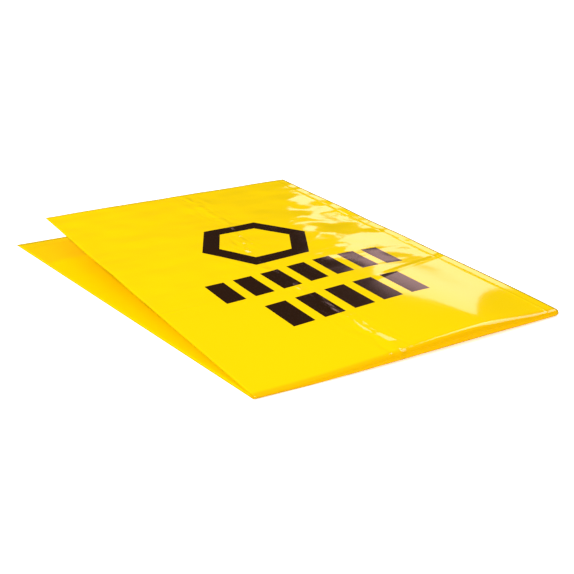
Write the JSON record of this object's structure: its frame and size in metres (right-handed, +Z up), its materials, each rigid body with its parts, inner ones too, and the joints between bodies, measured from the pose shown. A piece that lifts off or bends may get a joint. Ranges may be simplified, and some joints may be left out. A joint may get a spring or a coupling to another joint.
{
  "type": "waste bag",
  "caption": "Flat gusseted polythene waste bag, new and empty, lying folded once across with its mouth half sprung up over its sealed half.",
  "frame": {"origin": "on the surface that the bag lies on, below the middle of its bounding box", "axes": "+X along the fold, +Y from the fold towards the mouth and the bottom seal, +Z up"},
  "size_m": [0.382, 0.511, 0.0305],
  "materials": {
    "yellow_film": "glossy"
  },
  "bodies": {
    "root": {"bag": "yellow_film"}
  },
  "joints": []
}
